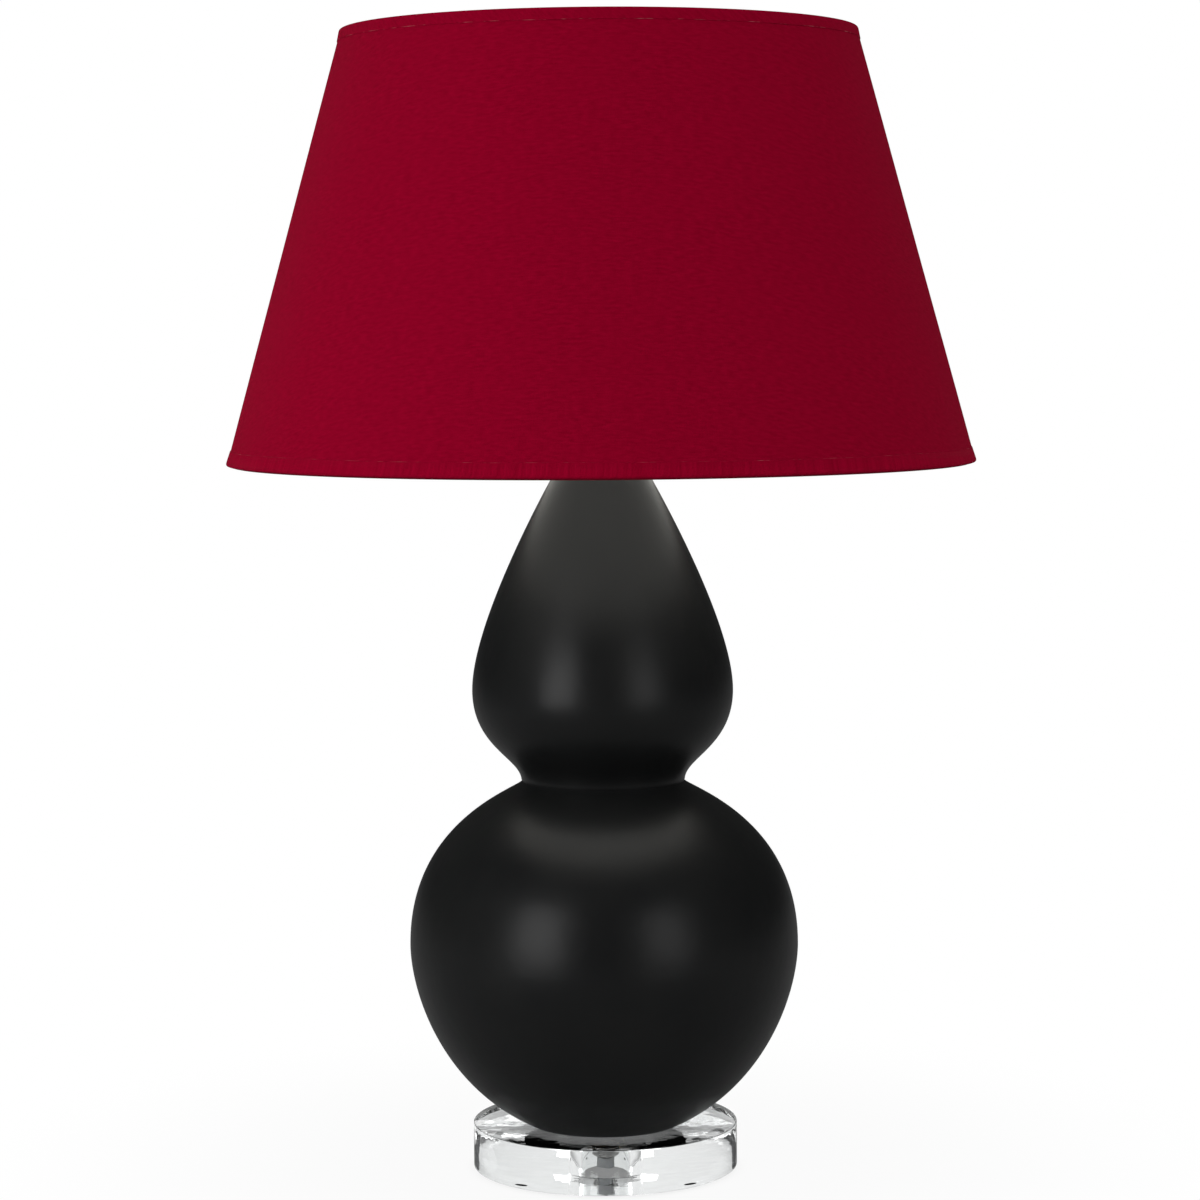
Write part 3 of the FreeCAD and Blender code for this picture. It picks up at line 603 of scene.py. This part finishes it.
def clothMaterial(name, turn, frayHighlighted=False):
    # Weave, slubs and dye run over the flat cut, and the colour between the threads is darkened, a painted
    # shade; a low velvet sheen lights the rims. A strip's cut edge shows pale thread ends in patches, which
    # also paint a highlight along the folded edge: the edge is where its own flat height is near nought.
    k = clothLook
    material, tree, shader = startMaterial(name)
    flat = tree.nodes.new("ShaderNodeUVMap")
    flat.uv_map = "flatCloth"
    lay = tree.nodes.new("ShaderNodeMapping")
    lay.inputs["Rotation"].default_value = (0.0, 0.0, math.radians(turn))
    tree.links.new(flat.outputs[0], lay.inputs["Vector"])
    weave = addGroup(tree, weaveGroup, lay.outputs[0], threads=k["threads"])
    dyed = colourMix(tree, weave["Slub"], k["dyeDark"], k["dyeLight"])
    toned = colourMix(tree, rangeNode(tree, weave["Tone"], 0.0, 1.0, 0.0, k["toneShare"]), dyed, k["dye"])
    # darker between the threads: painted shade in the weave
    gapShade = rangeNode(tree, weave["Thread"], 0.0, k["deepUnder"], k["deepShare"], 0.0)
    colour = colourMix(tree, gapShade, toned, k["dyeDeep"])
    if frayHighlighted:
        # pale thread ends in patches along the cut edge, which also serve as a painted highlight on the fold
        split = tree.nodes.new("ShaderNodeSeparateXYZ")
        tree.links.new(flat.outputs[0], split.inputs[0])
        near = rangeNode(tree, split.outputs[1], *k["frayWidth"], 1.0, 0.0, True)
        loose = noiseNode(tree, flat.outputs[0], k["frayScale"], 3.0, 0.7)
        patches = rangeNode(tree, loose, *k["frayPatches"], 0.0, k["frayShare"])
        colour = colourMix(tree, mathNode(tree, "MULTIPLY", near, patches), colour, k["fray"])
    tree.links.new(colour, shader.inputs["Base Color"])
    tree.links.new(rangeNode(tree, weave["Slub"], 0.0, 1.0, *k["rough"]), shader.inputs["Roughness"])
    addBump(tree, shader, weave["Height"], k["relief"], k["reliefShare"])
    shader.inputs["Specular IOR Level"].default_value = 0.0
    shader.inputs["Sheen Weight"].default_value = k["sheen"]
    shader.inputs["Sheen Roughness"].default_value = k["sheenRough"]
    shader.inputs["Sheen Tint"].default_value = k["sheenTint"]
    return material


def makeCover():
    # The cloth is an annular sector: it runs from the back round the front to the back, and laps there.
    # Its place on the flat cut is (R sin f, -R cos f), where R is the way from the cone's tip and f the turn
    # times the share of a circle that the cut spans. The slack is a standing wave and a finer leaning one.
    s = shadeLook
    apex = s["bottomRadius"] / draw
    share = draw
    lap = s["seamLap"] / s["bottomRadius"]
    turn = np.linspace(-math.pi, math.pi + lap, s["steps"])[None, :]
    along = np.linspace(s["clothShort"], slant - s["clothShort"], s["rows"])[:, None]
    lift = s["seamLift"] * smoothStep((turn - math.pi + lap * 0.35) / (lap * 0.25))
    slack = s["slack"][0] * np.sin(turn * 9 + 1.3) * np.sin(along * 31 + 0.4)
    slack = slack + s["slack"][1] * np.sin(turn * 23 - along * 17)
    r, z = wallPoint(along + 0 * turn, lift + slack - s["clothBed"])
    # turn 0 is the front, and it grows towards +X
    points = np.stack([r * np.sin(turn), -r * np.cos(turn), z], -1)
    away = apex - along
    flat = np.stack([away * np.sin(turn * share), -away * np.cos(turn * share)], -1)
    piece = gridPiece("coverCloth", points, flat=flat)
    thick = piece.modifiers.new("cloth", "SOLIDIFY")
    thick.thickness, thick.offset = s["clothThick"], -1.0
    return finishPiece(piece, "shade", clothMaterial("crimsonCloth", 0.0), ["shade_cover"])


def hemSection(start, sign, height):
    # The strip's section: down the outside, round the wire ring and a little way up the inside, with
    # rounded folds. It is given as the way along the slant and out from the cover, from the shade's edge.
    s = shadeLook
    layer = s["cover"] + s["liner"]
    pocket = layer + s["ringWire"] + s["ringGap"]
    fold, tail, crown = s["fold"], height * s["tail"], s["ringWire"] + s["ringGap"]
    corners = np.array([(height, s["touch"]), (height, s["hem"] * 0.4), (0.0, s["hem"]), (-fold, 0.0),
                        (-fold, -pocket), (0.0, -pocket - fold), (crown, -pocket - fold),
                        (crown + fold, -pocket), (crown + fold, -layer - fold), (tail, -layer - fold),
                        (tail, -layer), (crown, -layer), (crown, -pocket), (0.0, -pocket), (0.0, s["touch"])])
    corners[:, 0] = start + sign * corners[:, 0]
    radii = [0.0002, 0.0006, 0.0012, 0.0007, 0.0008, 0.0006, 0.0008, 0.0006, 0.0003, 0.0003, 0.0002, 0.0002,
             0.0003, 0.0003, 0.0003]
    return rounded(corners, radii, 5)


def stepLengths(points):
    # The way from each point to the next.
    return np.linalg.norm(np.diff(points, axis=0), axis=1)


def armSlits():
    # Rods along the last of each drop arm, up to the middle of the top ring's wire.
    s = shadeLook
    inside = s["cover"] + s["liner"] + s["ringGap"] + s["ringWire"] / 2
    ringR, ringZ = wallPoint(slant - s["ringWire"] / 2, -inside)
    innerR, innerZ = ringR - s["armRun"][0], ringZ - s["armRun"][1]
    slits = []
    for k, degrees in enumerate(s["armAngles"]):
        x, y = math.cos(math.radians(degrees)), math.sin(math.radians(degrees))
        start, end = (innerR * x, innerR * y, innerZ), (ringR * x, ringR * y, ringZ)
        slits.append(rodPiece("slit" + str(k), start, end, s["armRadius"], s["armSides"]))
    return slits


def makeHem(name, start, sign, height, replaced, material, seed):
    # The section is carried round the shade. Its outside swells and puckers: a sum of sines in the turn whose
    # phase shifts up the strip, as a strip cut on the bias does when it is pulled round an edge.
    s = shadeLook
    section = hemSection(start, sign, height)
    section = section[np.concatenate([[True], stepLengths(section) > hardwareLook["mergeWithin"]])]
    turn = np.linspace(-math.pi, math.pi, s["steps"], endpoint=False)[None, :]
    along, out = section[:, 0][:, None], section[:, 1][:, None]
    upStrip = sign * (along - start)
    outside = smoothStep((out + 0.0002) / 0.0008)
    rng = np.random.default_rng(seed)
    pucker = 0 * turn * along
    for waves in s["puckerWaves"]:
        phase = rng.uniform(0, 6.28)
        lean = rng.uniform(-s["puckerLean"], s["puckerLean"])
        size = rng.uniform(0.5, 1.0)
        patch = 0.5 + 0.5 * np.sin(turn * rng.integers(3, 9) + rng.uniform(0, 6.28))
        pucker = pucker + size * patch * np.sin(turn * waves + upStrip * lean + phase)
    edge = s["edgeDrift"][0] * np.sin(turn * 7 + seed) + s["edgeDrift"][1] * np.sin(turn * 19 + 2 * seed)
    swell = s["swell"] * np.sin(np.clip(upStrip / height, 0, 1) * math.pi)
    out = out + outside * (swell + s["pucker"] * pucker)
    along = along + sign * edge * smoothStep((upStrip - height * 0.5) / (height * 0.5)) * outside
    r, z = wallPoint(along, out)
    points = np.stack([r * np.sin(turn), -r * np.cos(turn), z], -1)
    run = np.concatenate([[0], np.cumsum(stepLengths(np.vstack([section, section[:1]])))])
    if sign > 0:   # the lower strip's section runs the other way round
        points, run = points[::-1], run[::-1]
    around = np.linspace(-math.pi, math.pi, s["steps"] + 1) * wallPoint(start, 0)[0]
    flat = np.stack(np.broadcast_arrays(around[None, :], run[:, None]), -1)
    piece = gridPiece(name, points, True, True, flat)
    if sign < 0:
        cutAway(piece, armSlits())
    sharpAt(piece, 70)
    return finishPiece(piece, "shade", material, [replaced])


def makeLiner():
    # White sheet behind the cloth: a cone with a lap at the back, one wall thickness deep.
    s = shadeLook
    lap = s["linerLap"] / s["bottomRadius"]
    turn = np.linspace(-math.pi, math.pi + lap, s["linerSteps"])[None, :]
    along = np.linspace(0.0, slant, s["linerRows"])[:, None]
    lift = -s["linerLift"] * smoothStep((turn - math.pi + lap * 0.3) / (lap * 0.25))
    r, z = wallPoint(along + 0 * turn, lift - s["cover"])
    points = np.stack([r * np.sin(turn), -r * np.cos(turn), z], -1)
    piece = gridPiece("styreneLiner", points)
    thick = piece.modifiers.new("sheet", "SOLIDIFY")
    thick.thickness, thick.offset = s["liner"], -1.0
    return finishPiece(piece, "shade", materials["white_styrene"], ["shade_liner"])


hemCloth = clothMaterial("crimsonHemCloth", clothLook["biasTurn"], True)
topHem = makeHem("topHemStrip", slant, -1, shadeLook["topHem"], "top_hem", hemCloth, 3)
bottomHem = makeHem("bottomHemStrip", 0.0, 1, shadeLook["bottomHem"], "bottom_hem", hemCloth, 8)
cover = makeCover()
makeLiner()
print("shade made")


# Hardware: each turned or bent piece as a merged, smoothly shaded copy

slotOf = {part["node"]: part["material_slot"] for part in record["subparts"]}
bodyOf = {node: body for body, members in record["behaviour"]["bodies"].items() for node in members}
specialFinish = {"lamp_pipe": "pipeThread", "harp_stud": "studThread"}


def smoothCopy(node):
    # The node's loose triangles merged where their corners meet, under a name of its own.
    source = frame["nodes"][node]
    shape = bmesh.new()
    shape.from_mesh(source.data)
    bmesh.ops.remove_doubles(shape, verts=shape.verts, dist=hardwareLook["mergeWithin"])
    words = node.split("_")
    name = words[0] + "".join(w.capitalize() for w in words[1:]) + "Smooth"
    mesh = bpy.data.meshes.new(name)
    shape.to_mesh(mesh)
    shape.free()
    piece = bpy.data.objects.new(name, mesh)
    scene.collection.objects.link(piece)
    sharpAt(piece, hardwareLook["sharpOver"])
    finish = materials[specialFinish.get(node, slotOf[node])]
    return finishPiece(piece, bodyOf[node], finish, [node])


made = {"acrylic_base", "gourd_body", "shade_cover", "shade_liner", "top_hem", "bottom_hem"}
for node in sorted(frame["nodes"]):
    if node not in made:
        smoothCopy(node)
print("hardware finished")


# Studio

studioLook = {
    "floorHalf": 7.0, "floorShade": 0.22,
    # the floor's white is lowered in the middle under the base, a painted shadow
    "under": 0.24, "underRadius": (0.045, 0.100),        # the floor's white in the middle of the base
    "mirroredLoss": 0.78, "mirroredRadius": (0.09, 0.16),   # and what reflections lose of it
    "whiteNear": 0.95, "nearRadius": 0.11, "farRadius": 0.50,
    "ambient": 0.50, "throughShare": 0.90, "glossShare": 0.032,
    "zenith": (0.82, 0.95),   # height on the unit sphere
    "aim": (0, 0, 0.42),
    "lamps": [
        dict(name="leftBox", azimuth=-38.0, distance=1.7, height=0.58, size=(0.80, 1.10), power=11.5),
        dict(name="rightBox", azimuth=36.0, distance=1.8, height=0.58, size=(0.75, 1.05), power=5.5),
        dict(name="leftFill", azimuth=-84.0, distance=1.5, height=0.7, size=(0.8, 1.0), power=7.5,
             mirrored=False),
        dict(name="rightFill", azimuth=84.0, distance=1.5, height=0.7, size=(0.8, 1.0), power=3.9,
             mirrored=False),
        dict(name="topSoft", azimuth=0.0, distance=0.9, height=1.95, size=(1.3, 1.0), power=6.0,
             mirrored=False),
        dict(name="backSoft", azimuth=180.0, distance=1.9, height=1.1, size=(1.0, 1.0), power=10.0,
             mirrored=False),
        dict(name="insideShade", height=0.715, radius=0.04, power=0.75, mirrored=False),
        dict(name="shadeGlow", height=0.515, disc=0.48, power=0.78, tint=(1.0, 0.99, 0.92), spread=False),
    ],
}


def lightPath(tree):
    # White shows to the camera, and nearly so through clear parts and in their own sharp or inner
    # reflections; a surface with some roughness mirrors a small share of it. Puts out how much is seen,
    # whether it is mirrored, how much is mirrored, and how often it was mirrored on its way.
    path = tree.nodes.new("ShaderNodeLightPath")
    through = mathNode(tree, "MULTIPLY", path.outputs["Is Transmission Ray"], studioLook["throughShare"])
    seen = mathNode(tree, "MAXIMUM", path.outputs["Is Camera Ray"], through)
    inside = mathNode(tree, "GREATER_THAN", path.outputs["Transmission Depth"], 0.5)
    clear = mathNode(tree, "MAXIMUM", inside, path.outputs["Is Singular Ray"])
    share = rangeNode(tree, clear, 0.0, 1.0, studioLook["glossShare"], 1.0)
    glossy = path.outputs["Is Glossy Ray"]
    return seen, glossy, mathNode(tree, "MULTIPLY", glossy, share), path.outputs["Glossy Depth"]


def makeWorld():
    # Towards the zenith the sky is fully mirrored, so that bright metal stays bright from above.
    world = bpy.data.worlds.new("studioWorld")
    world.use_nodes = True
    scene.world = world
    tree = world.node_tree
    background = tree.nodes["Background"]
    seen, glossy, mirrored, _ = lightPath(tree)
    split = tree.nodes.new("ShaderNodeSeparateXYZ")
    tree.links.new(tree.nodes.new("ShaderNodeTexCoord").outputs["Generated"], split.inputs[0])
    above = rangeNode(tree, split.outputs[2], *studioLook["zenith"], 0.0, 1.0, True)
    mirrored = mathNode(tree, "MAXIMUM", mirrored, mathNode(tree, "MULTIPLY", glossy, above))
    plain = mathNode(tree, "MULTIPLY", mathNode(tree, "SUBTRACT", 1.0, glossy), studioLook["ambient"])
    strength = mathNode(tree, "MAXIMUM", seen, mathNode(tree, "ADD", mirrored, plain))
    background.inputs["Color"].default_value = (1.0, 1.0, 1.0, 1.0)
    tree.links.new(strength, background.inputs["Strength"])


def makeFloor():
    # A level square. Its white is 1 far out, a little less near the base, and dim in the middle under it, a
    # painted shadow.
    half = studioLook["floorHalf"]
    corners = [(-half, -half, 0), (half, -half, 0), (half, half, 0), (-half, half, 0)]
    mesh = bpy.data.meshes.new("studioFloor")
    mesh.from_pydata(corners, [], [(0, 1, 2, 3)])
    floor = bpy.data.objects.new("studioFloor", mesh)
    scene.collection.objects.link(floor)
    material = bpy.data.materials.new("paleFloor")
    material.use_nodes = True
    tree = material.node_tree
    tree.nodes.clear()
    seen, _, mirrored, timesMirrored = lightPath(tree)
    shown = mathNode(tree, "MAXIMUM", seen, mirrored)
    place = placeSocket(tree)
    length = tree.nodes.new("ShaderNodeVectorMath")
    length.operation = "LENGTH"
    tree.links.new(place, length.inputs[0])
    radius = length.outputs["Value"]
    # painted shadow: the floor's white dims in the middle under the base
    under = rangeNode(tree, radius, *studioLook["underRadius"], studioLook["under"], 1.0, True)
    around = rangeNode(tree, radius, studioLook["nearRadius"], studioLook["farRadius"],
                       studioLook["whiteNear"], 1.0, True)
    # a reflection finds the floor under the base darker, as the body's foot shades it
    lost = rangeNode(tree, radius, *studioLook["mirroredRadius"], studioLook["mirroredLoss"], 0.0, True)
    lost = mathNode(tree, "MULTIPLY", lost, mathNode(tree, "GREATER_THAN", timesMirrored, 0.5))
    left = mathNode(tree, "SUBTRACT", 1.0, lost)
    white = mathNode(tree, "MULTIPLY", mathNode(tree, "MULTIPLY", under, around), left)
    diffuse = tree.nodes.new("ShaderNodeBsdfDiffuse")
    diffuse.inputs["Color"].default_value = (*[studioLook["floorShade"]] * 3, 1.0)
    glow = tree.nodes.new("ShaderNodeEmission")
    mix = tree.nodes.new("ShaderNodeMixShader")
    tree.links.new(mathNode(tree, "MULTIPLY", shown, white), mix.inputs["Fac"])
    tree.links.new(diffuse.outputs[0], mix.inputs[1])
    tree.links.new(glow.outputs[0], mix.inputs[2])
    # from below the floor lets the eye through, so that the underside can be looked at
    clearBelow = tree.nodes.new("ShaderNodeBsdfTransparent")
    side = tree.nodes.new("ShaderNodeMixShader")
    tree.links.new(tree.nodes.new("ShaderNodeNewGeometry").outputs["Backfacing"], side.inputs["Fac"])
    tree.links.new(mix.outputs[0], side.inputs[1])
    tree.links.new(clearBelow.outputs[0], side.inputs[2])
    output = tree.nodes.new("ShaderNodeOutputMaterial")
    tree.links.new(side.outputs[0], output.inputs["Surface"])
    mesh.materials.append(material)


def makeLamp(look):
    # A panel faces the object. With a radius it is a small round source on the axis instead, and with a disc
    # a round panel on the axis that faces down. One that doesn't spread shows only in reflections.
    light = bpy.data.lights.new(look["name"], "POINT" if "radius" in look else "AREA")
    light.energy = look["power"]
    light.color = look.get("tint", (1.0, 1.0, 1.0))
    lamp = bpy.data.objects.new(look["name"], light)
    if "radius" in look:
        light.shadow_soft_size = look["radius"]
        lamp.location = (0.0, 0.0, look["height"])
    elif "disc" in look:
        light.shape, light.size = "DISK", look["disc"]
        lamp.location = (0.0, 0.0, look["height"])
    else:
        light.shape = "RECTANGLE"
        light.size, light.size_y = look["size"]
        a = math.radians(look["azimuth"])
        place = Vector((math.sin(a) * look["distance"], -math.cos(a) * look["distance"], look["height"]))
        lamp.location = place
        lamp.rotation_euler = (Vector(studioLook["aim"]) - place).to_track_quat("-Z", "Y").to_euler()
    lamp.visible_camera = False
    lamp.visible_glossy = look.get("mirrored", True)
    lamp.visible_diffuse = look.get("spread", True)
    scene.collection.objects.link(lamp)


makeWorld()
makeFloor()
for look in studioLook["lamps"]:
    makeLamp(look)
print("studio lit")
